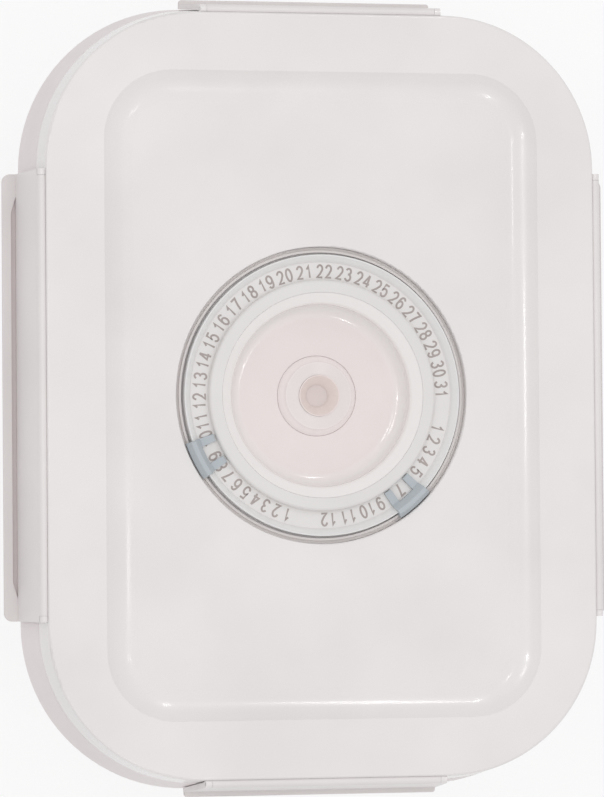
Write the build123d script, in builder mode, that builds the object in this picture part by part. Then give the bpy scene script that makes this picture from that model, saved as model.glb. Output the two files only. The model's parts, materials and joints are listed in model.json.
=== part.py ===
from build123d import *
from math import cos, radians, sin, tan
import os

os.makedirs("parts", exist_ok=True)

# Vacuum food container: a rectangular tub with a turned-down apron, and a lid that
# is held by four hinged latches. The lid carries a round date dial with two sliders
# and, in the middle of the dial, a dish with the air valve.
# Millimetres. The origin is the middle of the base, +Z is up, +X is the right side
# and +Y the back. Heights are taken down from the lid's face.

# Overall size
total_height = 90.0
lid_length = 220.0
lid_width = 161.5
lid_corner_radius = 44.3
side_draft = 7.3

# Lid shell
lid_skirt_height = 9.5
lid_wall = 2.4
lid_top_thickness = 2.6
lid_edge_fillet = 0.7
border_width = 16.8
panel_corner_radius = 20.0
panel_depth = 3.0
panel_wall_inset = 4.3
panel_floor_fillet = 14.0
panel_thickness = 2.4
border_step = 1.6
inner_rib_wall = 2.0
inner_rib_height = 7.0
lid_rib_height = 3.0
lid_rib_wall = 1.6
lid_rib_spread = 18.0

# Container
parting_gap = 0.4
apron_height = 18.4
apron_wall = 2.2
shelf_thickness = 2.4
container_wall = 2.4
base_thickness = 2.8
tub_draft = 3.0
rim_gap = 1.2
rim_fillet = 0.8
base_edge_fillet = 5.0
cavity_floor_fillet = 6.0
apron_edge_fillet = 0.5
foot_width = 7.0
foot_height = 0.8
ridge_drop = 3.6
ridge_length_inset = 6.0
ridge_width = 3.0
ridge_height = 0.7
ridge_lead = 0.8

# Lid gasket
gasket_thickness = 2.5
gasket_lip_width = 1.8
gasket_lip_height = 3.0
gasket_overhang = 0.9
gasket_rim_clearance = 0.35
gasket_rib_clearance = 0.2

# Latches, their hinges and hooks
side_latch_length = 129.0
end_latch_length = 71.0
end_latch_flare = 2.0
latch_clearance = 0.25
hinge_pin_radius = 0.55
pin_press_clearance = 0.01
pin_running_clearance = 0.05
barrel_wall = 0.65
barrel_drop = 0.3
barrel_groove_clearance = 0.06
hinge_outset = 1.05
lug_length = 1.8
lug_gap = 0.06
groove_end_gap = 0.06
pin_end_inset = 0.1
latch_foot_drop = 22.7
side_foot_gap = 2.2
end_foot_gap = 1.6
side_lip_reach = 4.0
end_lip_reach = 1.4
lip_thickness = 1.3
lip_under_drop = 0.6
lip_corner_radius = 2.4
end_lip_corner_radius = 0.8
lip_edge_fillet = 0.35
pocket_margin = 0.3
pocket_clearance = 0.2
pocket_end_gap = 0.5
scoop_width = 1.4
scoop_depth = 0.9
scoop_end_inset = 6.6
scoop_end_taper = 4.6

# Date dial
well_radius = 42.85
well_edge_fillet = 0.4
well_wall = 2.0
well_floor_thickness = 2.0
dial_radius = 40.6
dial_drop = 1.8
dial_thickness = 1.2
dial_rim_rise = 2.5
dial_rim_slope = 1.9
dial_rim_width = 0.3
dial_rim_bevel = 0.2
dial_rim_underside = 0.1
barb_recess = 1.2
barb_recess_slope = 0.4
track_clearance = 0.1
track_rib_wall = 0.65
track_rib_drop = 1.5
track_floor_drop = 2.3
track_well_clearance = 0.05
collar_radius = 33.4
collar_rise = 2.5
collar_draft = 0.1
collar_seam_rise = 0.5
collar_edge_fillet = 0.9
collar_bore_radius = 29.65
collar_edge = 4.0
collar_hub_radius = 31.1
hub_clearance = 0.1

# Sliders on the dial
slider_inner_radius = 33.9
slider_outer_radius = 42.4
slider_window_radius = 38.3
slider_span = 15.2
slider_window_span = 8.0
slider_thickness = 0.9
slider_float = 0.1
slider_track_gap = 0.3
foot_clearance = 0.1
foot_wall = 0.45
barb_reach = 0.8
barb_thickness = 0.5
barb_gap = 0.15
slider_edge_fillet = 0.3
day_slider_bearing = 243.3
month_slider_bearing = 139.4

# Pump cup and its seal
cup_seam_gap = 0.05
cup_rim_fall = 2.85
cup_radius = 26.4
cup_lip_fillet = 1.6
cup_wall_height = 2.2
cup_floor_fillet = 3.6
cup_wall = 1.8
cup_floor_thickness = 2.0
cup_flange_radius = 31.0
cup_flange_thickness = 1.2
cup_hole_clearance = 0.2
cup_seal_thickness = 1.0
cup_seal_inset = 0.2
cup_ledge_thickness = 1.9
valve_well_radius = 11.7
valve_well_slope = 0.4
valve_well_drop = 1.5

# Air valve
valve_lip_clearance = 0.06
valve_lip_width = 1.4
valve_lip_sink = 0.2
valve_shoulder_radius = 9.7
valve_rise = 4.1
valve_crown_rise = 0.8
valve_skin = 1.4
valve_hub_wall = 1.4
stem_head_radius = 6.0
stem_head_gap = 0.05
stem_head_rise = 0.3
stem_head_thickness = 1.0
stem_cone_height = 2.4
stem_radius = 4.3
stem_hole_clearance = 0.2
stem_fit_clearance = 0.01
dimple_radius = 3.05
dimple_depth = 3.7
dimple_edge = 0.3
valve_travel = 1.2
travel_margin = 0.1
retainer_radius = 6.0
retainer_thickness = 1.3
stem_end_margin = 0.5
air_hole_radius = 1.0
air_hole_circle = 7.4
air_hole_count = 6

# Heights that follow from the sizes above
face_z = total_height
border_under_z = face_z - lid_top_thickness
panel_z = face_z - panel_depth
panel_under_z = panel_z - panel_thickness
skirt_z = face_z - lid_skirt_height
shelf_z = skirt_z - parting_gap
apron_z = shelf_z - apron_height
rim_z = border_under_z - gasket_thickness
ridge_top_z = shelf_z - ridge_drop
ridge_under_z = ridge_top_z - ridge_width
latch_foot_z = face_z - latch_foot_drop
dial_z = panel_z - dial_drop
dial_rim_z = dial_z + dial_rim_rise
dial_seat_z = dial_z - dial_thickness
barb_recess_z = dial_z - dial_rim_underside
collar_top_z = dial_z + collar_rise
collar_seam_z = collar_top_z + collar_seam_rise
cup_rim_z = collar_seam_z - cup_seam_gap
cup_lip_z = cup_rim_z - cup_rim_fall
cup_floor_z = cup_lip_z - cup_wall_height - cup_floor_fillet
flange_top_z = collar_seam_z - collar_edge
flange_under_z = flange_top_z - cup_flange_thickness
ledge_z = flange_under_z - cup_seal_thickness
valve_seat_z = cup_floor_z - valve_well_drop
valve_floor_under_z = valve_seat_z - cup_floor_thickness

# Radii on the dial, from the well inwards
foot_inner = dial_radius + foot_clearance
foot_outer = foot_inner + foot_wall
track_rib_inner = foot_outer + track_clearance
track_rib_outer = track_rib_inner + track_rib_wall
rim_inner_radius = dial_radius - dial_rim_width
slope_inner_radius = rim_inner_radius - dial_rim_slope
hub_bore_radius = collar_hub_radius + hub_clearance
cup_hole_radius = cup_radius + cup_wall + cup_hole_clearance

# Hinge line of every latch, measured from the lid's face and its outline
barrel_radius = hinge_pin_radius + pin_running_clearance + barrel_wall
hinge_z = face_z - barrel_drop - barrel_radius

half_width = lid_width / 2
half_length = lid_length / 2
panel_width = lid_width - 2 * border_width
panel_length = lid_length - 2 * border_width

# Each side of the lid: its name, the bearing of its outward direction, the distance
# from the middle to the lid's outline, then its latch's length, how much longer the
# latch is at its foot, its foot's gap to the sloped side, and its finger lip's reach
# and corner radius.
side_lip = (side_lip_reach, lip_corner_radius)
end_lip = (end_lip_reach, end_lip_corner_radius)
lid_sides = [
    ("right", 0, half_width, side_latch_length, 0, side_foot_gap, side_lip),
    ("back", 90, half_length, end_latch_length, end_latch_flare, end_foot_gap, end_lip),
    ("left", 180, half_width, side_latch_length, 0, side_foot_gap, side_lip),
    ("front", 270, half_length, end_latch_length, end_latch_flare, end_foot_gap, end_lip),
]


def spread(z):
    """How far the sloped side stands outside the lid's face outline at a height."""
    return (face_z - z) * tan(radians(side_draft))


def outline(grow, mode=Mode.ADD):
    """The lid's rounded outline, grown outwards on every side."""
    RectangleRounded(lid_width + 2 * grow, lid_length + 2 * grow, lid_corner_radius + grow, mode=mode)


def outline_taper(low_z, low_grow, high_z, high_grow, mode=Mode.ADD):
    """A solid with straight sides between two grown outlines."""
    with BuildSketch(Plane.XY.offset(low_z)) as low_sketch:
        outline(low_grow)
    with BuildSketch(Plane.XY.offset(high_z)) as high_sketch:
        outline(high_grow)
    loft([low_sketch.sketch.face(), high_sketch.sketch.face()], ruled=True, mode=mode)


def side_plane(bearing):
    """An upright plane through the middle: its x points out of a side, its y points up."""
    angle = radians(bearing)
    return Plane(origin=(0, 0, 0), x_dir=(cos(angle), sin(angle), 0), z_dir=(sin(angle), -cos(angle), 0))


def front_plane(bearing):
    """An upright plane through the middle that faces a side: its y points up."""
    angle = radians(bearing)
    return Plane(origin=(0, 0, 0), x_dir=(-sin(angle), cos(angle), 0), z_dir=(cos(angle), sin(angle), 0))


def turned_profile(points, mode=Mode.ADD):
    """A solid of revolution about the dial's axis from (radius, height) points."""
    with BuildSketch(Plane.XZ) as profile_sketch:
        with BuildLine():
            Polyline(*points, close=True)
        make_face()
    revolve(profile_sketch.sketch, axis=Axis.Z, mode=mode)


# Container: tub, sealing rim and apron in one moulding
rim_outer = -(lid_wall + rim_gap)
rim_inner = rim_outer - container_wall
tub_lean = shelf_z * tan(radians(tub_draft))
floor_lean = base_thickness * tan(radians(tub_draft))

with BuildPart() as container_body:
    outline_taper(apron_z, spread(apron_z), shelf_z, spread(shelf_z))
    apron_outer_edges = container_body.edges().group_by(Axis.Z)[0]
    apron_outer_edges += container_body.edges().group_by(Axis.Z)[-1]
    fillet(apron_outer_edges, apron_edge_fillet)
    shelf_under_z = shelf_z - shelf_thickness
    outline_taper(
        apron_z, spread(apron_z) - apron_wall,
        shelf_under_z, spread(shelf_under_z) - apron_wall,
        mode=Mode.SUBTRACT,
    )
    outline_taper(0, rim_outer - tub_lean, shelf_z, rim_outer)
    fillet(container_body.edges().group_by(Axis.Z)[0], base_edge_fillet)
    with BuildSketch(Plane.XY.offset(shelf_z)):
        outline(rim_outer)
    extrude(amount=rim_z - shelf_z)
    outline_taper(
        base_thickness, rim_inner - tub_lean + floor_lean, shelf_z, rim_inner, mode=Mode.SUBTRACT
    )
    with BuildSketch(Plane.XY.offset(shelf_z)):
        outline(rim_inner)
    extrude(amount=rim_z - shelf_z, mode=Mode.SUBTRACT)
    floor_edges = container_body.edges().filter_by_position(Axis.Z, base_thickness, base_thickness)
    fillet(floor_edges, cavity_floor_fillet)
    fillet(container_body.edges().group_by(Axis.Z)[-1], rim_fillet)
    with BuildSketch(Plane.XY):
        outline(rim_outer - tub_lean - base_edge_fillet - foot_width)
    extrude(amount=foot_height, mode=Mode.SUBTRACT)
    # snap ridges on the apron, one behind each latch
    for side_name, bearing, half_span, latch_length, flare, foot_gap, lip in lid_sides:
        ridge_lead_z = ridge_top_z - ridge_lead
        with BuildSketch(side_plane(bearing)):
            with BuildLine():
                Polyline(
                    (half_span + spread(ridge_top_z) - apron_wall / 2, ridge_top_z),
                    (half_span + spread(ridge_top_z), ridge_top_z),
                    (half_span + spread(ridge_lead_z) + ridge_height, ridge_lead_z),
                    (half_span + spread(ridge_under_z) + ridge_height, ridge_under_z),
                    (half_span + spread(ridge_under_z) - apron_wall / 2, ridge_under_z),
                    close=True,
                )
            make_face()
        extrude(amount=latch_length / 2 - ridge_length_inset, both=True)
container_body.part.label = "container_body"
export_step(container_body.part, "parts/container_body.step")

# Gasket: a flat ring over the container's rim, with a lip inside it
gasket_lip_outer = rim_inner - gasket_rim_clearance
gasket_inner = gasket_lip_outer - gasket_lip_width
gasket_outer = rim_outer + gasket_overhang

with BuildPart() as lid_gasket:
    with BuildSketch(Plane.XY.offset(rim_z)):
        outline(gasket_outer)
        outline(gasket_inner, mode=Mode.SUBTRACT)
    extrude(amount=gasket_thickness)
    with BuildSketch(Plane.XY.offset(rim_z)):
        outline(gasket_lip_outer)
        outline(gasket_inner, mode=Mode.SUBTRACT)
    extrude(amount=-gasket_lip_height)
lid_gasket.part.label = "lid_gasket"
export_step(lid_gasket.part, "parts/lid_gasket.step")

# Lid shell: border, sunk panel, dial well and hinge lugs in one moulding
rib_outer = gasket_inner - gasket_rib_clearance

with BuildPart() as lid_shell:
    outline_taper(skirt_z, spread(skirt_z), face_z, 0)
    fillet(lid_shell.edges().group_by(Axis.Z)[-1], lid_edge_fillet)
    outline_taper(
        skirt_z, spread(skirt_z) - lid_wall,
        panel_under_z, spread(panel_under_z) - lid_wall,
        mode=Mode.SUBTRACT,
    )
    with BuildSketch(Plane.XY.offset(panel_under_z)):
        outline(spread(panel_under_z) - lid_wall)
        RectangleRounded(
            panel_width + 2 * border_step,
            panel_length + 2 * border_step,
            panel_corner_radius + border_step,
            mode=Mode.SUBTRACT,
        )
    extrude(amount=border_under_z - panel_under_z, mode=Mode.SUBTRACT)
    # sunk panel with a hollow curve between its wall and its floor
    with BuildSketch(Plane.XY.offset(face_z)):
        RectangleRounded(panel_width, panel_length, panel_corner_radius)
    with BuildSketch(Plane.XY.offset(panel_z)):
        RectangleRounded(
            panel_width - 2 * panel_wall_inset,
            panel_length - 2 * panel_wall_inset,
            panel_corner_radius - panel_wall_inset,
        )
    loft(ruled=True, mode=Mode.SUBTRACT)
    fillet(lid_shell.edges().filter_by_position(Axis.Z, panel_z, panel_z), panel_floor_fillet)
    # rib that holds the gasket
    with BuildSketch(Plane.XY.offset(border_under_z)):
        outline(rib_outer)
        outline(rib_outer - inner_rib_wall, mode=Mode.SUBTRACT)
    extrude(amount=-inner_rib_height)
    # stiffening ribs under the panel
    with BuildSketch(Plane.XY.offset(panel_under_z)):
        Rectangle(panel_width, lid_rib_wall)
        with Locations((-lid_rib_spread, 0), (lid_rib_spread, 0)):
            Rectangle(lid_rib_wall, panel_length)
    extrude(amount=-lid_rib_height)
    # walls of the dial well, its seat and the ledge under the pump cup
    seat_under_z = dial_seat_z - well_floor_thickness
    turned_profile([
        (0, panel_under_z + panel_thickness / 2),
        (well_radius + well_wall, panel_under_z + panel_thickness / 2),
        (well_radius + well_wall, seat_under_z),
        (hub_bore_radius + well_wall, seat_under_z),
        (hub_bore_radius + well_wall, ledge_z - cup_ledge_thickness),
        (0, ledge_z - cup_ledge_thickness),
    ])
    turned_profile(
        [
            (0, face_z),
            (well_radius, face_z),
            (well_radius, dial_seat_z),
            (hub_bore_radius, dial_seat_z),
            (hub_bore_radius, ledge_z),
            (cup_hole_radius, ledge_z),
            (cup_hole_radius, ledge_z - 2 * cup_ledge_thickness),
            (0, ledge_z - 2 * cup_ledge_thickness),
        ],
        mode=Mode.SUBTRACT,
    )
    well_edges = lid_shell.edges().filter_by(GeomType.CIRCLE)
    well_edges = well_edges.filter_by_position(Axis.Z, panel_z, panel_z)
    fillet(well_edges.sort_by(SortBy.RADIUS)[-1], well_edge_fillet)
    # hinge groove, end lugs and pin holes on each side
    for side_name, bearing, half_span, latch_length, flare, foot_gap, lip in lid_sides:
        hinge_point = (half_span + hinge_outset, hinge_z)
        with BuildSketch(side_plane(bearing)):
            with Locations(hinge_point):
                Circle(barrel_radius + barrel_groove_clearance)
        extrude(amount=latch_length / 2 + groove_end_gap, both=True, mode=Mode.SUBTRACT)
        for end in (-1, 1):
            with BuildSketch(side_plane(bearing).offset(end * latch_length / 2)):
                with Locations(hinge_point):
                    Circle(barrel_radius)
                neck_width = hinge_outset + lid_wall / 2
                with Locations((half_span + hinge_outset - neck_width / 2, hinge_z - barrel_radius / 4)):
                    Rectangle(neck_width, barrel_radius * 1.5)
            extrude(amount=-end * lug_length)
        with BuildSketch(side_plane(bearing)):
            with Locations(hinge_point):
                Circle(hinge_pin_radius + pin_press_clearance)
        extrude(amount=latch_length / 2, both=True, mode=Mode.SUBTRACT)
lid_shell.part.label = "lid_shell"
export_step(lid_shell.part, "parts/lid_shell.step")


def off_side(half_span, z, gap):
    """Distance from the middle of a face that stands a gap off the sloped side."""
    return half_span + spread(z) + gap


# Latches: a plate that hangs on its barrel, a pocket behind it for the snap ridge and
# a finger lip at its foot with a scoop along the plate
pocket_top_z = ridge_top_z + pocket_margin
pocket_under_z = ridge_under_z - pocket_margin
pocket_gap = ridge_height + pocket_clearance
lip_under_z = latch_foot_z - lip_thickness
latch_end_z = lip_under_z - lip_under_drop

for side_name, bearing, half_span, latch_length, flare, foot_gap, lip in lid_sides:
    lip_reach, lip_corner = lip
    hinge_point = (half_span + hinge_outset, hinge_z)
    foot_x = off_side(half_span, latch_foot_z, foot_gap)
    foot_length = latch_length + 2 * flare
    inner_top_z = hinge_z - barrel_radius / 2
    profile = [
        (half_span + hinge_outset + barrel_radius - 0.02, hinge_z),
        (foot_x, latch_foot_z),
        (foot_x + lip_reach, latch_foot_z),
        (foot_x + lip_reach, lip_under_z),
        (off_side(half_span, latch_end_z, latch_clearance), latch_end_z),
        (off_side(half_span, inner_top_z, latch_clearance), inner_top_z),
        (half_span + hinge_outset, hinge_z),
    ]
    with BuildPart() as latch:
        with BuildSketch(side_plane(bearing)):
            with BuildLine():
                Polyline(*profile, close=True)
            make_face()
            with Locations(hinge_point):
                Circle(barrel_radius)
        extrude(amount=foot_length / 2, both=True)
        # front view of the latch: straight at the barrel, flared at the foot
        with BuildSketch(front_plane(bearing)):
            with BuildLine():
                Polyline(
                    (latch_length / 2, face_z),
                    (latch_length / 2, hinge_z - barrel_radius),
                    (foot_length / 2, latch_foot_z),
                    (foot_length / 2, 0),
                    (-foot_length / 2, 0),
                    (-foot_length / 2, latch_foot_z),
                    (-latch_length / 2, hinge_z - barrel_radius),
                    (-latch_length / 2, face_z),
                    close=True,
                )
            make_face()
        extrude(amount=lid_length, mode=Mode.INTERSECT)
        fillet(latch.edges().filter_by(Axis.Z), lip_corner)
        outward = Axis((0, 0, 0), side_plane(bearing).x_dir)
        lip_end_x = foot_x + lip_reach
        lip_edges = latch.edges().filter_by_position(outward, lip_end_x - 0.01, lip_end_x + 0.01)
        fillet(lip_edges.filter_by(Axis.Z, reverse=True), lip_edge_fillet)
        # pocket for the snap ridge, closed at both ends
        with BuildSketch(side_plane(bearing)):
            with BuildLine():
                Polyline(
                    (off_side(half_span, pocket_under_z, 0), pocket_under_z),
                    (off_side(half_span, pocket_under_z, pocket_gap), pocket_under_z),
                    (off_side(half_span, pocket_top_z, pocket_gap), pocket_top_z),
                    (off_side(half_span, pocket_top_z, 0), pocket_top_z),
                    close=True,
                )
            make_face()
        pocket_length = latch_length - 2 * (ridge_length_inset - pocket_end_gap)
        extrude(amount=pocket_length / 2, both=True, mode=Mode.SUBTRACT)
        for end in (-1, 1):
            with BuildSketch(side_plane(bearing).offset(end * latch_length / 2)):
                with Locations(hinge_point):
                    Circle(barrel_radius + lug_gap)
            extrude(amount=-end * (lug_length + lug_gap), mode=Mode.SUBTRACT)
        with BuildSketch(side_plane(bearing)):
            with Locations(hinge_point):
                Circle(hinge_pin_radius + pin_running_clearance)
        extrude(amount=latch_length / 2, both=True, mode=Mode.SUBTRACT)
        if lip_reach > 2 * scoop_width:
            scoop_end = foot_length / 2 - scoop_end_inset
            with BuildSketch(Plane.XY.offset(latch_foot_z)):
                with Locations(Location((0, 0, 0), (0, 0, bearing))):
                    Polygon(
                        (foot_x, -scoop_end),
                        (foot_x + scoop_width, scoop_end_taper - scoop_end),
                        (foot_x + scoop_width, scoop_end - scoop_end_taper),
                        (foot_x, scoop_end),
                        align=None,
                    )
            extrude(amount=-scoop_depth, mode=Mode.SUBTRACT)
    latch.part.label = "latch_" + side_name
    export_step(latch.part, "parts/latch_" + side_name + ".step")

    pin_length = latch_length - 2 * pin_end_inset
    with BuildPart() as hinge_pin:
        with BuildSketch(side_plane(bearing)):
            with Locations(hinge_point):
                Circle(hinge_pin_radius)
        extrude(amount=pin_length / 2, both=True)
    hinge_pin.part.label = "hinge_pin_" + side_name
    export_step(hinge_pin.part, "parts/hinge_pin_" + side_name + ".step")

# Number ring: a shallow tray for the dates, whose raised rim the sliders clip around
with BuildPart() as number_ring:
    turned_profile([
        (hub_bore_radius, dial_seat_z),
        (dial_radius - barb_recess, dial_seat_z),
        (dial_radius - barb_recess + barb_recess_slope, barb_recess_z),
        (dial_radius, barb_recess_z),
        (dial_radius, dial_rim_z - dial_rim_bevel),
        (dial_radius - dial_rim_bevel, dial_rim_z),
        (rim_inner_radius, dial_rim_z),
        (slope_inner_radius, dial_z),
        (hub_bore_radius, dial_z),
    ])
number_ring.part.label = "number_ring"
export_step(number_ring.part, "parts/number_ring.step")

# Collar: clamps the number ring and the pump cup's flange, and rises to the cup's seam
with BuildPart() as dial_collar:
    turned_profile([
        (collar_bore_radius, flange_top_z),
        (collar_hub_radius, flange_top_z),
        (collar_hub_radius, dial_z),
        (collar_radius, dial_z),
        (collar_radius - collar_draft, collar_top_z),
        (collar_bore_radius, collar_seam_z),
    ])
    collar_circles = dial_collar.edges().filter_by(GeomType.CIRCLE)
    collar_circles = collar_circles.filter_by_position(Axis.Z, collar_top_z, collar_top_z)
    fillet(collar_circles, collar_edge_fillet)
dial_collar.part.label = "dial_collar"
export_step(dial_collar.part, "parts/dial_collar.step")

# Track: the round rib in the well's groove that keeps the sliders' feet on the ring
with BuildPart() as slider_track:
    turned_profile([
        (track_rib_inner, dial_seat_z),
        (well_radius - track_well_clearance, dial_seat_z),
        (well_radius - track_well_clearance, panel_z - track_floor_drop),
        (track_rib_outer, panel_z - track_floor_drop),
        (track_rib_outer, panel_z - track_rib_drop),
        (track_rib_inner, panel_z - track_rib_drop),
    ])
slider_track.part.label = "slider_track"
export_step(slider_track.part, "parts/slider_track.step")


def ring_sector(inner, outer, middle, span, mode=Mode.ADD):
    """A piece of a flat ring, by its radii, its middle angle and its span in degrees."""
    with BuildLine() as border:
        first = radians(middle - span / 2)
        last = radians(middle + span / 2)
        inner_start = (inner * cos(first), inner * sin(first))
        inner_end = (inner * cos(last), inner * sin(last))
        outer_start = (outer * cos(first), outer * sin(first))
        outer_end = (outer * cos(last), outer * sin(last))
        inner_mid = (inner * cos(radians(middle)), inner * sin(radians(middle)))
        outer_mid = (outer * cos(radians(middle)), outer * sin(radians(middle)))
        ThreePointArc(inner_start, inner_mid, inner_end)
        Line(inner_end, outer_end)
        ThreePointArc(outer_end, outer_mid, outer_start)
        Line(outer_start, inner_start)
    make_face(border.edges(), mode=mode)


# Sliders: open frames that lie on the numbers, step over the number ring's rim and
# hook under it with a barb
arm_under_z = dial_z + slider_float
arm_top_z = arm_under_z + slider_thickness
bar_under_z = dial_rim_z + slider_float
bar_top_z = bar_under_z + slider_thickness
flange_over_z = panel_z - track_rib_drop + slider_track_gap
barb_top_z = barb_recess_z - barb_gap
barb_under_z = barb_top_z - barb_thickness
slider_profile = [
    (slider_inner_radius, arm_under_z),
    (slope_inner_radius, arm_under_z),
    (rim_inner_radius, bar_under_z),
    (foot_inner, bar_under_z),
    (foot_inner, barb_top_z),
    (foot_inner - barb_reach, barb_top_z),
    (foot_inner - barb_reach, barb_under_z),
    (foot_outer, barb_under_z),
    (foot_outer, flange_over_z),
    (slider_outer_radius, flange_over_z),
    (slider_outer_radius, flange_over_z + slider_thickness),
    (foot_outer, bar_top_z),
    (rim_inner_radius - slider_thickness / 2, bar_top_z),
    (slope_inner_radius - slider_thickness / 2, arm_top_z),
    (slider_inner_radius, arm_top_z),
]

for slider_name, bearing in (("day_slider", day_slider_bearing), ("month_slider", month_slider_bearing)):
    middle = 90 - bearing
    with BuildPart() as slider:
        turned_profile(slider_profile)
        with BuildSketch(Plane.XY.offset(dial_seat_z)):
            ring_sector(slider_inner_radius - 1, slider_outer_radius + 1, middle, slider_span)
        extrude(amount=face_z - dial_seat_z, mode=Mode.INTERSECT)
        fillet(slider.edges().group_by(Axis.Z)[-1], slider_edge_fillet)
        with BuildSketch(Plane.XY.offset(arm_under_z - slider_float)):
            ring_sector(slider_inner_radius - 1, slider_window_radius, middle, slider_window_span)
        extrude(amount=face_z - arm_under_z, mode=Mode.SUBTRACT)
    slider.part.label = slider_name
    export_step(slider.part, "parts/" + slider_name + ".step")

# Pump cup: sloped rim, upright wall, hollow curve, floor and a sunk valve seat
with BuildPart() as pump_cup:
    turned_profile([
        (0, valve_seat_z),
        (valve_well_radius - valve_well_slope, valve_seat_z),
        (valve_well_radius, cup_floor_z),
        (cup_radius, cup_floor_z),
        (cup_radius, cup_lip_z),
        (collar_bore_radius - cup_seam_gap, cup_rim_z),
        (collar_bore_radius - cup_seam_gap, flange_top_z),
        (cup_flange_radius, flange_top_z),
        (cup_flange_radius, flange_under_z),
        (cup_radius + cup_wall, flange_under_z),
        (cup_radius + cup_wall, cup_floor_z + cup_wall / 2),
        (cup_radius - cup_wall, cup_floor_z - cup_floor_thickness),
        (valve_well_radius + cup_wall, cup_floor_z - cup_floor_thickness),
        (valve_well_radius, valve_floor_under_z),
        (0, valve_floor_under_z),
    ])
    floor_circles = pump_cup.edges().filter_by(GeomType.CIRCLE)
    floor_circles = floor_circles.filter_by_position(Axis.Z, cup_floor_z, cup_floor_z)
    fillet(floor_circles.sort_by(SortBy.RADIUS)[-1], cup_floor_fillet)
    lip_circles = pump_cup.edges().filter_by(GeomType.CIRCLE)
    fillet(lip_circles.filter_by_position(Axis.Z, cup_lip_z, cup_lip_z), cup_lip_fillet)
    # holes through the valve's floor: one for the stem and a ring of them for the air
    with BuildSketch(Plane.XY.offset(valve_seat_z)):
        Circle(stem_radius + stem_hole_clearance)
        with PolarLocations(air_hole_circle, air_hole_count):
            Circle(air_hole_radius)
    extrude(amount=-cup_floor_thickness, mode=Mode.SUBTRACT)
pump_cup.part.label = "pump_cup"
export_step(pump_cup.part, "parts/pump_cup.step")

# Flat seal between the pump cup's flange and the lid's ledge
with BuildPart() as cup_seal:
    with BuildSketch(Plane.XY.offset(ledge_z)):
        Circle(cup_flange_radius - cup_seal_inset)
        Circle(cup_hole_radius + cup_seal_inset, mode=Mode.SUBTRACT)
    extrude(amount=cup_seal_thickness)
cup_seal.part.label = "cup_seal"
export_step(cup_seal.part, "parts/cup_seal.step")

# Valve: a soft cap over the air holes, held by a stem and a retaining ring
valve_top_z = valve_seat_z + valve_rise
crown_z = valve_top_z + valve_crown_rise
head_top_z = crown_z + stem_head_rise
head_under_z = head_top_z - stem_head_thickness
cone_foot_z = head_under_z - stem_cone_height
dimple_floor_z = head_top_z - dimple_depth
retainer_top_z = valve_floor_under_z - valve_travel - travel_margin
stem_end_z = retainer_top_z - retainer_thickness - stem_end_margin
cap_hollow_z = valve_top_z - valve_skin
lip_foot_radius = valve_well_radius - valve_well_slope - valve_lip_clearance
lip_slope = valve_well_slope * (1 - valve_lip_sink / valve_well_drop)

with BuildPart() as valve_cap:
    turned_profile([
        (stem_radius + stem_fit_clearance, valve_seat_z),
        (stem_radius + valve_hub_wall, valve_seat_z),
        (stem_radius + valve_hub_wall, cap_hollow_z),
        (valve_shoulder_radius - valve_lip_width, cap_hollow_z),
        (lip_foot_radius - valve_lip_width, valve_seat_z),
        (lip_foot_radius, valve_seat_z),
        (lip_foot_radius + lip_slope, cup_floor_z - valve_lip_sink),
        (valve_shoulder_radius, valve_top_z),
        (stem_head_radius + stem_head_gap, crown_z),
        (stem_head_radius + stem_head_gap, head_under_z),
        (stem_radius + stem_fit_clearance, cone_foot_z),
    ])
valve_cap.part.label = "valve_cap"
export_step(valve_cap.part, "parts/valve_cap.step")

with BuildPart() as valve_stem:
    turned_profile([
        (0, dimple_floor_z),
        (dimple_radius, dimple_floor_z),
        (stem_head_radius - dimple_edge, head_top_z),
        (stem_head_radius, head_top_z),
        (stem_head_radius, head_under_z),
        (stem_radius, cone_foot_z),
        (stem_radius, stem_end_z),
        (0, stem_end_z),
    ])
valve_stem.part.label = "valve_stem"
export_step(valve_stem.part, "parts/valve_stem.step")

with BuildPart() as valve_retainer:
    with BuildSketch(Plane.XY.offset(retainer_top_z)):
        Circle(retainer_radius)
        Circle(stem_radius + stem_fit_clearance, mode=Mode.SUBTRACT)
    extrude(amount=-retainer_thickness)
valve_retainer.part.label = "valve_retainer"
export_step(valve_retainer.part, "parts/valve_retainer.step")
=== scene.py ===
# %% [markdown]
# # A vacuum food container in soft studio light
# The container is a tub with a turned-down apron and a lid that four hinged latches
# hold down. The lid has a sunk panel with a round date dial: a ring of numbers with
# two sliders, a raised collar, and a glossy cup with the air valve in its middle.
#
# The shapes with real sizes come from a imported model. This lesson loads it as a fixed
# frame, gives every piece a plastic, silicone or steel that looks right up close,
# prints the numbers on the dial, and sets up the light and the camera.

import json
from math import cos, radians, sin

import bmesh
import bpy
from mathutils import Matrix, Vector


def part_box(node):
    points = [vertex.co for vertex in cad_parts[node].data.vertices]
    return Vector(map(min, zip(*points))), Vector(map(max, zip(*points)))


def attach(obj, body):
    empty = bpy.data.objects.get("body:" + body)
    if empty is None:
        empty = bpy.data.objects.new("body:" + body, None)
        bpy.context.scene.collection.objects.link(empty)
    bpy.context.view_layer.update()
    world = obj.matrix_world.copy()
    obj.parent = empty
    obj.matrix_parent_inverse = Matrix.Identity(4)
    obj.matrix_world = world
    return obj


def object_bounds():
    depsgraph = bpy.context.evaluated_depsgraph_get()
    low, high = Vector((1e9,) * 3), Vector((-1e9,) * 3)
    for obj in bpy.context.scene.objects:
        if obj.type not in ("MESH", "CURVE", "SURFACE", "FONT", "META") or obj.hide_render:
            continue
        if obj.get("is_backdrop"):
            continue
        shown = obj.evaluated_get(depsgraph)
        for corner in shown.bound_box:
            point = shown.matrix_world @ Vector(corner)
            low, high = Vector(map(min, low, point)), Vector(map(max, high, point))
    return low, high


MM = 0.001
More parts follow.
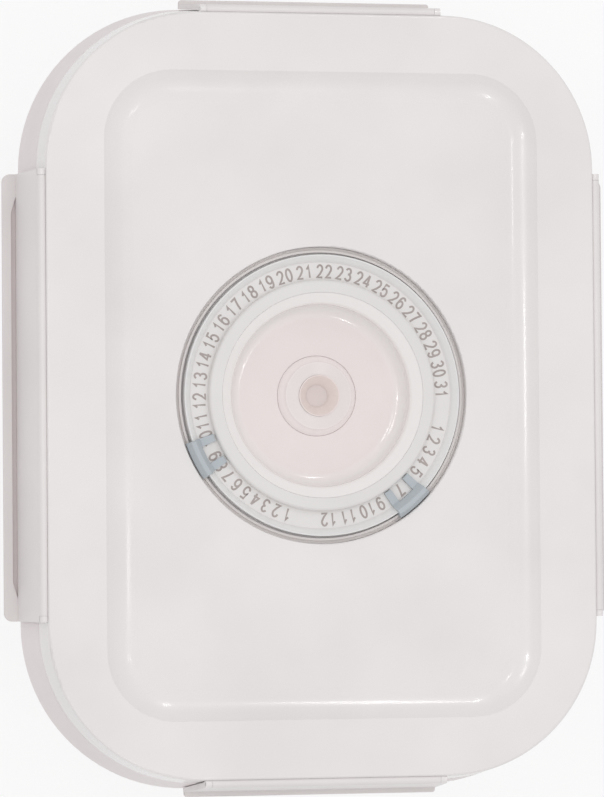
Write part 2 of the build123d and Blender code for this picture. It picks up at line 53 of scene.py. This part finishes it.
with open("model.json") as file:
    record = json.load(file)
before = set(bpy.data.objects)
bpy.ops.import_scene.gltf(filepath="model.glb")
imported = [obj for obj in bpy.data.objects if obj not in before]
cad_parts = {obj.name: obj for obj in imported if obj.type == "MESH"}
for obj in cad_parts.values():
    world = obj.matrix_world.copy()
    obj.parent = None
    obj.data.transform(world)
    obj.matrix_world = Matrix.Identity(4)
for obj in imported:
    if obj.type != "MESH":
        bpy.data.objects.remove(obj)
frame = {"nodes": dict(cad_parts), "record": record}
cad_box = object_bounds()
print("nodes:", ", ".join(sorted(frame["nodes"])))
print("CAD box in mm:", [round(c / MM, 1) for corner in cad_box for c in corner])

# %% [markdown]
# ## Sizes that the pieces share
# Everything is in metres, with the origin in the middle of the base. The lid's face is
# the highest flat, and the dial lies around the Z axis. Both levels are read from the
# frame's own pieces, so they follow it. The number ring is a shallow tray, and its rim
# stands above the printed face, so that face is measured from the ring's underside.

# %% Shared sizes
lid_face_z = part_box("lid_shell")[1].z
NUMBER_RING_THICKNESS = 1.2 * MM
dial_face_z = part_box("number_ring")[0].z + NUMBER_RING_THICKNESS
print(f"lid face at {lid_face_z / MM:.1f} mm, dial face at {dial_face_z / MM:.1f} mm")


# %% [markdown]
# ## Small tools for materials
# A material is a graph of nodes. Small helpers keep the graphs short: one adds a node
# and sets its inputs, one adds a node that spreads a range of values over another, and
# one makes a named group with its sockets. A group is a reusable part of a graph, like
# a function.

# %% Node helpers
def add_node(tree, kind, **inputs):
    """A new node of a kind, with its inputs set by name."""
    node = tree.nodes.new(kind)
    for name, value in inputs.items():
        node.inputs[name.replace("_", " ")].default_value = value
    return node


def add_range(tree, value, low, high, to_low=0.0, to_high=1.0):
    """An output that goes from to_low to to_high as a value goes from low to high."""
    node = add_node(
        tree, "ShaderNodeMapRange", From_Min=low, From_Max=high, To_Min=to_low, To_Max=to_high
    )
    tree.links.new(value, node.inputs["Value"])
    return node.outputs["Result"]


def start_group(name, inputs, outputs):
    """A shader node group with value sockets: the group, its input and its output node."""
    group = bpy.data.node_groups.new(name, "ShaderNodeTree")
    sockets = group.interface
    for label, default in inputs:
        socket = sockets.new_socket(label, in_out="INPUT", socket_type="NodeSocketFloat")
        socket.default_value = default
    for label in outputs:
        sockets.new_socket(label, in_out="OUTPUT", socket_type="NodeSocketFloat")
    return group, group.nodes.new("NodeGroupInput"), group.nodes.new("NodeGroupOutput")


print("node helpers:", [helper.__name__ for helper in (add_node, add_range, start_group)])


# %% [markdown]
# ## The grain of a moulded plastic
# The steel mould of a matt plastic is etched, and its fine grain is pressed into the
# surface. Up close it is a skin of small soft bumps, a few tenths of a millimetre
# apart. Two noise textures make it, a coarse one and a fine one. A third, slow noise
# stands for the faint clouds of tone where the plastic flowed and cooled unevenly.
# The group gives the bump's height, a fine tone and the clouds, all from 0 to 1. Noise
# in the object's own space is used, since the pieces have no unwrapped surface, and it
# keeps its scale on every piece.

# %% Group: moulded grain
# Each noise: its label, the socket with its size, how many times finer it is, its detail.
NOISES = [
    ("coarse", "Grain Size", 1.0, 2.0),
    ("fine", "Grain Size", 2.7, 1.0),
    ("cloud", "Cloud Size", 1.0, 3.0),
]
NOISE_ROUGHNESS = 0.55
FINE_SHARE = 0.35
CLOUD_LOW, CLOUD_HIGH = 0.32, 0.68


def make_grain_group():
    """Height, Tone and Cloud of an etched mould, by two sizes in metres."""
    group, source, result = start_group(
        "moulded_grain",
        [("Grain Size", 0.0004), ("Cloud Size", 0.05)],
        ["Height", "Tone", "Cloud"],
    )
    place = group.nodes.new("ShaderNodeTexCoord")
    noises = {}
    for label, socket, fineness, detail in NOISES:
        scale = add_node(group, "ShaderNodeMath")
        scale.operation = "DIVIDE"
        scale.inputs[0].default_value = fineness
        group.links.new(source.outputs[socket], scale.inputs[1])
        noise = add_node(group, "ShaderNodeTexNoise", Detail=detail, Roughness=NOISE_ROUGHNESS)
        group.links.new(place.outputs["Object"], noise.inputs["Vector"])
        group.links.new(scale.outputs[0], noise.inputs["Scale"])
        noises[label] = noise.outputs["Fac"]
    height = add_node(group, "ShaderNodeMix", Factor=FINE_SHARE)
    group.links.new(noises["coarse"], height.inputs["A"])
    group.links.new(noises["fine"], height.inputs["B"])
    group.links.new(height.outputs["Result"], result.inputs["Height"])
    group.links.new(noises["fine"], result.inputs["Tone"])
    cloud = add_range(group, noises["cloud"], CLOUD_LOW, CLOUD_HIGH)
    group.links.new(cloud, result.inputs["Cloud"])
    return group


grain_group = make_grain_group()
print("group:", grain_group.name, [s.name for s in grain_group.interface.items_tree])


# %% [markdown]
# ## Moulded plastics and silicones
# All plastics on the container share one recipe: a base colour that drifts a little
# with the clouds, a roughness that drifts with the fine tone, and the grain as a bump.
# What differs is how fine and deep the grain is and how polished the surface is. One
# function makes them all, so a change of the recipe reaches every piece.
#
# Some pieces change colour over their own width, the valve's lip with a painted glow,
# and the latches get a painted shade over their height. Painting them by hand would need
# an unwrapped surface. The distance from the dial's axis, or the height, does the same
# with two sizes, and stays in place when the model is made again.

# %% Colours that change over a piece
# The colour sockets of a Mix node share their names with its other sockets.
COLOUR_A, COLOUR_B, COLOUR_RESULT = 6, 7, 2
AROUND_Z, ALONG_Z = (1, 1, 0), (0, 0, 1)


def add_colour_mix(tree, share, first, second):
    """A colour output that mixes two colours, each an output or a linear RGB, by a share."""
    node = tree.nodes.new("ShaderNodeMix")
    node.data_type = "RGBA"
    for index, colour in ((COLOUR_A, first), (COLOUR_B, second)):
        if isinstance(colour, bpy.types.NodeSocket):
            tree.links.new(colour, node.inputs[index])
        else:
            node.inputs[index].default_value = list(colour) + [1]
    tree.links.new(share, node.inputs["Factor"])
    return node.outputs[COLOUR_RESULT]


def add_distance(tree, along):
    """An output with a point's distance from the Z axis or along it, in metres."""
    place = tree.nodes.new("ShaderNodeTexCoord")
    flat = tree.nodes.new("ShaderNodeVectorMath")
    flat.operation = "MULTIPLY"
    flat.inputs[1].default_value = along
    distance = tree.nodes.new("ShaderNodeVectorMath")
    distance.operation = "LENGTH"
    tree.links.new(place.outputs["Object"], flat.inputs[0])
    tree.links.new(flat.outputs[0], distance.inputs[0])
    return distance.outputs["Value"]


print("colour helpers:", [helper.__name__ for helper in (add_colour_mix, add_distance)])

# %% Recipe for plastics
TONE_LOW, TONE_HIGH = 0.3, 0.7
ROUGHNESS_DRIFT = 0.12
COAT_ROUGHNESS = 0.08


def moulded(name, colour, roughness, grain, depth, drift=0.03, cloud=40.0, coat=0.0,
            rim=None, painted_foot_shade=None):
    """A moulded material: a linear colour; its grain, bump depth and cloud size are in mm.
    A rim is (colour, from radius, to radius): a colour that takes over away from the Z
    axis. The height pair, (colour, from height, to height), is a painted shade that
    takes over along the Z axis."""
    material = bpy.data.materials.new(name)
    material.use_nodes = True
    tree = material.node_tree
    shader = tree.nodes["Principled BSDF"]
    texture = tree.nodes.new("ShaderNodeGroup")
    texture.node_tree = grain_group
    texture.inputs["Grain Size"].default_value = grain * MM
    texture.inputs["Cloud Size"].default_value = cloud * MM
    dark = [c * (1 - drift) for c in colour]
    light = [min(c * (1 + drift), 1) for c in colour]
    tint = add_colour_mix(tree, texture.outputs["Cloud"], dark, light)
    for change, along in ((rim, AROUND_Z), (painted_foot_shade, ALONG_Z)):
        if change:
            second, start, stop = change
            share = add_range(tree, add_distance(tree, along), start * MM, stop * MM)
            tint = add_colour_mix(tree, share, tint, second)
    tree.links.new(tint, shader.inputs["Base Color"])
    polish = add_range(
        tree, texture.outputs["Tone"], TONE_LOW, TONE_HIGH,
        roughness * (1 - ROUGHNESS_DRIFT), min(roughness * (1 + ROUGHNESS_DRIFT), 1),
    )
    tree.links.new(polish, shader.inputs["Roughness"])
    bump = add_node(tree, "ShaderNodeBump", Distance=depth * MM, Strength=1.0)
    tree.links.new(texture.outputs["Height"], bump.inputs["Height"])
    tree.links.new(bump.outputs["Normal"], shader.inputs["Normal"])
    shader.inputs["Coat Weight"].default_value = coat
    shader.inputs["Coat Roughness"].default_value = COAT_ROUGHNESS
    return material


print("recipe:", moulded.__name__, "with roughness drift", ROUGHNESS_DRIFT)

# %% [markdown]
# ## The finishes
# The lid has a fine satin grain, and the latches and the tub are a little duller. The
# pump cup is polished: it is pinkish where it is thin and fades to white at its thick
# rim. The valve's cap is soft silicone, and its thin outer lip is painted lighter: a
# painted glow for the light that comes through it. The finger lip at the bottom of a
# latch and its scoop are painted darker than the plate, a painted shade. The colours come
# from comparing renders with the photograph, spot by spot, under the lamps below.

# %% The finishes by slot
# Each finish: its colour, roughness, grain size and bump depth, and what else it has.
recipes = {
    "lid_plastic": ((0.790, 0.760, 0.754), 0.26, 0.45, 0.003, {"coat": 0.35}),
    "container_plastic": ((0.80, 0.735, 0.737), 0.42, 0.5, 0.01, {}),
    # Painted shade: the latch darkens from 67.6 mm down to 66.6 mm, on its finger lip and
    # scoop.
    "latch_plastic": (
        (0.775, 0.74, 0.735), 0.34, 0.5, 0.008, {"painted_foot_shade": ((0.66, 0.59, 0.59), 67.6, 66.6)},
    ),
    "gasket_silicone": ((0.74, 0.73, 0.72), 0.62, 0.8, 0.01, {}),
    "dial_plastic": (
        (0.765, 0.745, 0.735), 0.3, 0.35, 0.004, {"rim": ((0.83, 0.825, 0.82), 38.3, 39.2)},
    ),
    "collar_plastic": ((0.74, 0.72, 0.708), 0.34, 0.5, 0.006, {}),
    "track_plastic": ((0.74, 0.70, 0.69), 0.4, 0.4, 0.006, {}),
    "slider_plastic": ((0.455, 0.495, 0.525), 0.4, 0.35, 0.01, {}),
    "cup_plastic": (
        (0.815, 0.74, 0.73), 0.14, 1.2, 0.003,
        {"coat": 0.5, "rim": ((0.88, 0.85, 0.84), 22.0, 27.0)},
    ),
    "seal_silicone": ((0.72, 0.71, 0.70), 0.6, 0.8, 0.01, {}),
    # Painted glow: the valve cap's thin outer lip turns lighter from 9.3 to 10.3 mm, for light
    # through it.
    "valve_silicone": (
        (0.785, 0.725, 0.715), 0.3, 0.7, 0.006, {"rim": ((0.94, 0.87, 0.86), 9.3, 10.3)},
    ),
    "valve_plastic": (
        (0.70, 0.62, 0.60), 0.24, 0.6, 0.004,
        {"coat": 0.3, "rim": ((0.82, 0.72, 0.69), 2.9, 3.6)},
    ),
}
finishes = {
    name: moulded(name, colour, roughness, grain, depth, **extras)
    for name, (colour, roughness, grain, depth, extras) in recipes.items()
}
print("plastics:", len(finishes))


# %% [markdown]
# ## Drawn steel for the hinge pins
# Wire is drawn through a die, which leaves fine lines along it. A noise that is
# stretched along the pin does that. The pins run along X or Y, so the noise is
# stretched along both and squeezed along Z, and one material serves all four pins.

# %% Steel
LINE_SCALE = (60, 60, 9000)
LINE_SHADE = 0.85
LINE_ROUGHNESS = (0.22, 0.42)


def drawn_steel(name, colour):
    """A steel wire's finish, with fine lines along it."""
    material = bpy.data.materials.new(name)
    material.use_nodes = True
    tree = material.node_tree
    shader = tree.nodes["Principled BSDF"]
    shader.inputs["Metallic"].default_value = 1.0
    place = tree.nodes.new("ShaderNodeTexCoord")
    stretch = add_node(tree, "ShaderNodeMapping")
    stretch.inputs["Scale"].default_value = LINE_SCALE
    lines = add_node(tree, "ShaderNodeTexNoise", Scale=1.0, Detail=2.0)
    tree.links.new(place.outputs["Object"], stretch.inputs["Vector"])
    tree.links.new(stretch.outputs["Vector"], lines.inputs["Vector"])
    shaded = [c * LINE_SHADE for c in colour]
    tint = add_colour_mix(tree, lines.outputs["Fac"], shaded, colour)
    tree.links.new(tint, shader.inputs["Base Color"])
    polish = add_range(tree, lines.outputs["Fac"], 0.0, 1.0, *LINE_ROUGHNESS)
    tree.links.new(polish, shader.inputs["Roughness"])
    return material


finishes["pin_steel"] = drawn_steel("pin_steel", (0.56, 0.56, 0.57))
print("finishes:", len(finishes))

# %% [markdown]
# ## Dressing the frame's own pieces
# The pieces of the frame already have their true shape, with smooth normals, so they
# only need their material. Each piece's slot in the record names it.

# %% Give every piece its finish
slot_of = {entry["node"]: entry["material_slot"] for entry in frame["record"]["subparts"]}
for node_name, piece in frame["nodes"].items():
    piece.data.materials.clear()
    piece.data.materials.append(finishes[slot_of[node_name]])
print("dressed", len(frame["nodes"]), "pieces")


# %% [markdown]
# ## Numbers on the dial
# The days 1 to 31 run clockwise around two thirds of the ring, and the months 1 to 12
# take most of the rest. They are printed in grey-brown ink, upright along the radius with
# their tops outwards. Each digit is drawn as one or two pen strokes: lines and arcs in
# a cell that is 2 wide and 1 high. A ribbon of the pen's width follows every stroke.
# Ink has almost no thickness, so the ribbons are a film of a few hundredths of a
# millimetre on the ring. A text object would be quicker, but its shapes hang on the
# fonts of the machine; strokes come out the same everywhere.

# %% Pen strokes of the digits
DEGREES_PER_STEP = 12


def arc(x, y, wide, high, start, stop):
    """Points of an elliptic arc about (x, y), between two angles in degrees."""
    steps = max(4, int(abs(stop - start) / DEGREES_PER_STEP))
    angles = [radians(start + (stop - start) * i / steps) for i in range(steps + 1)]
    return [(x + wide * cos(a), y + high * sin(a)) for a in angles]


SIX = [
    arc(0.06, 0.70, 0.90, 0.30, 28, 172) + [(-0.95, 0.46)],
    arc(0, 0.32, 0.96, 0.32, 180, 540),
]
STROKES = {
    "0": [arc(0, 0.5, 0.94, 0.5, 90, 450)],
    "1": [[(-0.62, 0.70), (-0.12, 0.83), (0.22, 1.0), (0.22, 0.0)]],
    "2": [arc(0, 0.71, 0.93, 0.29, 172, -28) + [(0.1, 0.27), (-0.93, 0.0), (1.0, 0.0)]],
    "3": [arc(-0.04, 0.76, 0.86, 0.24, 160, -90), arc(-0.04, 0.27, 0.98, 0.27, 95, -162)],
    "4": [[(0.42, 0.0), (0.42, 1.0)], [(0.42, 1.0), (-1.0, 0.27), (1.08, 0.27)]],
    "5": [[(0.85, 1.0), (-0.58, 1.0), (-0.84, 0.49)] + arc(-0.02, 0.32, 0.98, 0.33, 140, -162)],
    "6": SIX,
    "7": [[(-0.95, 1.0), (0.95, 1.0), (0.42, 0.68), (0.02, 0.36), (-0.22, 0.0)]],
    "8": [arc(0, 0.76, 0.82, 0.24, 90, 450), arc(0, 0.265, 0.97, 0.265, 90, 450)],
    "9": [[(-x, 1 - y) for x, y in stroke] for stroke in SIX],
}
print("strokes:", {digit: len(strokes) for digit, strokes in STROKES.items()})

# %% The numbers' places
# Runs of evenly spaced numbers: first, last, the first one's bearing and the step.
# Bearings run clockwise from the back of the lid, in degrees.
NUMBER_RUNS = [
    (1, 9, 196.6, 5.55),
    (10, 10, 249.6, 0.0),
    (11, 31, 257.9, 9.46),
    (1, 9, 105.4, 5.7),
    (10, 12, 157.8, 9.5),
]


def number_places():
    """(text, bearing) of every printed number: the days 1 to 31, then the months."""
    return [
        (str(number), start + (number - first) * step)
        for first, last, start, step in NUMBER_RUNS
        for number in range(first, last + 1)
    ]


print("numbers:", " ".join(text for text, bearing in number_places()))

# %% Ribbons
SAME_POINT = 1e-9
SHARPEST_MITRE = 0.6


def add_ribbon(mesh, points, width, place, lift):
    """A flat ribbon along a polyline, mitred at its corners, put in place by a matrix."""
    steps = [(b - a).normalized() for a, b in zip(points, points[1:])]
    closed = (points[0] - points[-1]).length < SAME_POINT
    sides = []
    for i, point in enumerate(points):
        before = steps[i - 1] if i or closed else steps[0]
        after = steps[i] if i < len(steps) else steps[0 if closed else -1]
        along = (before + after).normalized()
        across = Vector((-along.y, along.x))
        mitre = abs(across.dot(Vector((-before.y, before.x))))
        reach = width / 2 / max(SHARPEST_MITRE, mitre)
        sides.append([point + across * reach, point - across * reach])
    rows = [[mesh.verts.new(place @ Vector((p.x, p.y, lift))) for p in pair] for pair in sides]
    for row, following in zip(rows, rows[1:]):
        mesh.faces.new((row[0], row[1], following[1], following[0]))


print(f"at a sharp corner a ribbon is at most {1 / SHARPEST_MITRE:.2f} pens wide")

# %% Print the numbers
DIGIT_HEIGHT = 4.05 * MM
DIGIT_WIDTH = 2.15 * MM
DIGIT_PITCH = 2.6 * MM
DIGIT_RADIUS = 35.85 * MM
PEN_WIDTH = 0.55 * MM
INK_LIFT = 0.015 * MM
STROKE_LIFT = 0.004 * MM
INK_THICKNESS = 0.03 * MM


def add_number(mesh, text, bearing):
    """All the strokes of a number, at its bearing on the ring."""
    turn = Matrix.Rotation(-radians(bearing), 4, "Z")
    place = turn @ Matrix.Translation((0, DIGIT_RADIUS, dial_face_z))
    half_width = (DIGIT_WIDTH - PEN_WIDTH) / 2
    height = DIGIT_HEIGHT - PEN_WIDTH
    for position, digit in enumerate(text):
        middle = (position - (len(text) - 1) / 2) * DIGIT_PITCH
        for layer, stroke in enumerate(STROKES[digit]):
            points = [Vector((middle + x * half_width, (y - 0.5) * height)) for x, y in stroke]
            add_ribbon(mesh, points, PEN_WIDTH, place, INK_LIFT + layer * STROKE_LIFT)


def print_numbers():
    """All numbers as one thin mesh on the number ring."""
    together = bmesh.new()
    for text, bearing in number_places():
        add_number(together, text, bearing)
    together.normal_update()
    for face in together.faces:
        if face.normal.z < 0:
            face.normal_flip()
    mesh = bpy.data.meshes.new("dial_numbers")
    together.to_mesh(mesh)
    together.free()
    numbers = bpy.data.objects.new("dial_numbers", mesh)
    bpy.context.scene.collection.objects.link(numbers)
    wall = numbers.modifiers.new("ink film", "SOLIDIFY")
    wall.thickness = INK_THICKNESS
    wall.offset = 1.0
    return numbers


dial_numbers = print_numbers()
ink = moulded("number_ink", (0.40, 0.35, 0.335), 0.55, 0.2, 0.004, drift=0.08, cloud=3.0)
dial_numbers.data.materials.append(ink)
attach(dial_numbers, "lid")
print("printed", len(number_places()), "with", len(dial_numbers.data.polygons), "faces")

# %% [markdown]
# ## Floor, light and background
# The container stands on a plain pale floor in a white tent: soft light from all
# sides, and a broad lamp above it. Six small lamps leave short bright marks in the
# hollow curve around the sunk panel and in the cup. Their places were worked out from
# the photograph's marks by the law of reflection. The background is white for the
# camera only, so its brightness adds no light. The floor glows to the camera as well,
# so it melts into the background, and still takes a faint shadow.

# %% Floor
WHITE = (1, 1, 1, 1)
PALE = (0.86, 0.86, 0.86, 1)
FLOOR_SIZE = 6.0
FLOOR_GLOW_SHARE = 0.82


def make_floor(size):
    """A large square floor, nearly white in view, that still takes the container's shadow."""
    mesh = bpy.data.meshes.new("floor")
    half = size / 2
    corners = [(-half, -half, 0), (half, -half, 0), (half, half, 0), (-half, half, 0)]
    mesh.from_pydata(corners, [], [(0, 1, 2, 3)])
    floor = bpy.data.objects.new("floor", mesh)
    bpy.context.scene.collection.objects.link(floor)
    material = bpy.data.materials.new("pale_floor")
    material.use_nodes = True
    tree = material.node_tree
    tree.nodes.clear()
    output = tree.nodes.new("ShaderNodeOutputMaterial")
    paint = add_node(tree, "ShaderNodeBsdfDiffuse", Color=PALE)
    glow = add_node(tree, "ShaderNodeEmission", Color=WHITE, Strength=1.0)
    path = tree.nodes.new("ShaderNodeLightPath")
    seen = tree.nodes.new("ShaderNodeMath")
    seen.operation = "MAXIMUM"
    share = tree.nodes.new("ShaderNodeMath")
    share.operation = "MULTIPLY"
    share.inputs[1].default_value = FLOOR_GLOW_SHARE
    blend = tree.nodes.new("ShaderNodeMixShader")
    tree.links.new(path.outputs["Is Camera Ray"], seen.inputs[0])
    tree.links.new(path.outputs["Is Glossy Ray"], seen.inputs[1])
    tree.links.new(seen.outputs[0], share.inputs[0])
    tree.links.new(share.outputs[0], blend.inputs["Fac"])
    tree.links.new(paint.outputs[0], blend.inputs[1])
    tree.links.new(glow.outputs[0], blend.inputs[2])
    tree.links.new(blend.outputs[0], output.inputs["Surface"])
    mesh.materials.append(material)
    return floor


floor = make_floor(FLOOR_SIZE)
floor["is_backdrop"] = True
print("floor:", [round(d, 2) for d in floor.dimensions])


# %% World and lamps
WORLD_LIGHT = 0.76
LAMP_TARGET = (0, 0, 0.08)
# Each lamp: its name, place, width and height in metres, and its power in watts.
LAMPS = [
    ("overhead", (0.0, -0.1, 1.6), 2.0, 2.0, 2.7),
    ("back right", (0.30, 0.54, 1.09), 0.07, 0.16, 0.50),
    ("back left", (-0.42, 0.26, 1.09), 0.20, 0.13, 0.50),
    ("left", (-0.45, 0.05, 1.09), 0.09, 0.09, 0.35),
    ("middle", (0.02, 0.14, 1.09), 0.05, 0.07, 0.12),
    ("front", (0.10, -0.33, 1.09), 0.07, 0.07, 0.30),
    ("right", (0.57, -0.055, 1.34), 0.05, 0.18, 0.2),
]


def make_world(light):
    """White to the camera, a plain soft light for everything else."""
    world = bpy.data.worlds.new("tent")
    bpy.context.scene.world = world
    world.use_nodes = True
    tree = world.node_tree
    tree.nodes.clear()
    output = tree.nodes.new("ShaderNodeOutputWorld")
    around = add_node(tree, "ShaderNodeBackground", Color=WHITE, Strength=light)
    white = add_node(tree, "ShaderNodeBackground", Color=WHITE, Strength=1.0)
    path = tree.nodes.new("ShaderNodeLightPath")
    blend = tree.nodes.new("ShaderNodeMixShader")
    tree.links.new(path.outputs["Is Camera Ray"], blend.inputs["Fac"])
    tree.links.new(around.outputs[0], blend.inputs[1])
    tree.links.new(white.outputs[0], blend.inputs[2])
    tree.links.new(blend.outputs[0], output.inputs["Surface"])
    return world


def add_lamp(name, place, wide, high, power):
    """A soft lamp with a rectangular face that looks at the lid."""
    data = bpy.data.lights.new(name, "AREA")
    data.shape = "RECTANGLE"
    data.size = wide
    data.size_y = high
    data.energy = power
    lamp = bpy.data.objects.new(name, data)
    lamp.location = place
    view = Vector(LAMP_TARGET) - Vector(place)
    lamp.rotation_euler = view.to_track_quat("-Z", "Y").to_euler()
    bpy.context.scene.collection.objects.link(lamp)
    return lamp


make_world(WORLD_LIGHT)
for name, place, wide, high, power in LAMPS:
    add_lamp(name, place, wide, high, power)

# %% [markdown]
# ## Camera
# The photograph looks almost straight down, from a little to the left and to the
# front, from over a metre away. The camera's place follows from those angles: its
# local Z axis points from the lid's face to the camera. A small shift puts the dial
# where the photograph has it, a little right of the middle.

# %% Camera
LEFT_TILT = radians(12.93)
FRONT_TILT = radians(1.81)
ROLL = radians(-0.46)
DISTANCE = 1.343
LENS = 210.9
SENSOR = 36.0
PICTURE_HEIGHT = 797
# The shift is measured in pixels of the photograph, and set as a share of its height.
SHIFT_IN_PIXELS = (-22.69, -3.7)
FAR_CLIP = 20


def make_camera():
    """The photograph's camera, aimed at the middle of the lid's face."""
    toward = Vector((
        -sin(LEFT_TILT) * cos(FRONT_TILT),
        -sin(FRONT_TILT),
        cos(LEFT_TILT) * cos(FRONT_TILT),
    ))
    right = Vector((0, 1, 0)).cross(toward).normalized()
    up = toward.cross(right)
    side = right * cos(ROLL) + up * sin(ROLL)
    top = up * cos(ROLL) - right * sin(ROLL)
    data = bpy.data.cameras.new("camera")
    data.sensor_width = SENSOR
    data.lens = LENS
    data.shift_x, data.shift_y = (pixels / PICTURE_HEIGHT for pixels in SHIFT_IN_PIXELS)
    data.clip_end = FAR_CLIP
    camera = bpy.data.objects.new("camera", data)
    turn = Matrix((side, top, toward)).transposed().to_4x4()
    place = Vector((0, 0, lid_face_z)) + toward * DISTANCE
    camera.matrix_world = Matrix.Translation(place) @ turn
    bpy.context.scene.collection.objects.link(camera)
    bpy.context.scene.camera = camera
    return camera


camera = make_camera()
print("camera at", [round(c, 3) for c in camera.matrix_world.translation])

# %% [markdown]
# Standard shows colours as they are written. The size of the dressed model is written
# beside the size of the frame, so that nothing grows by accident.

# %% Close
bpy.context.scene.view_settings.view_transform = "Standard"
visual_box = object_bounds()
for title, box in (("frame", cad_box), ("dressed", visual_box)):
    print(title, "size in mm:", [round((b - a) / MM, 2) for a, b in zip(*box)])
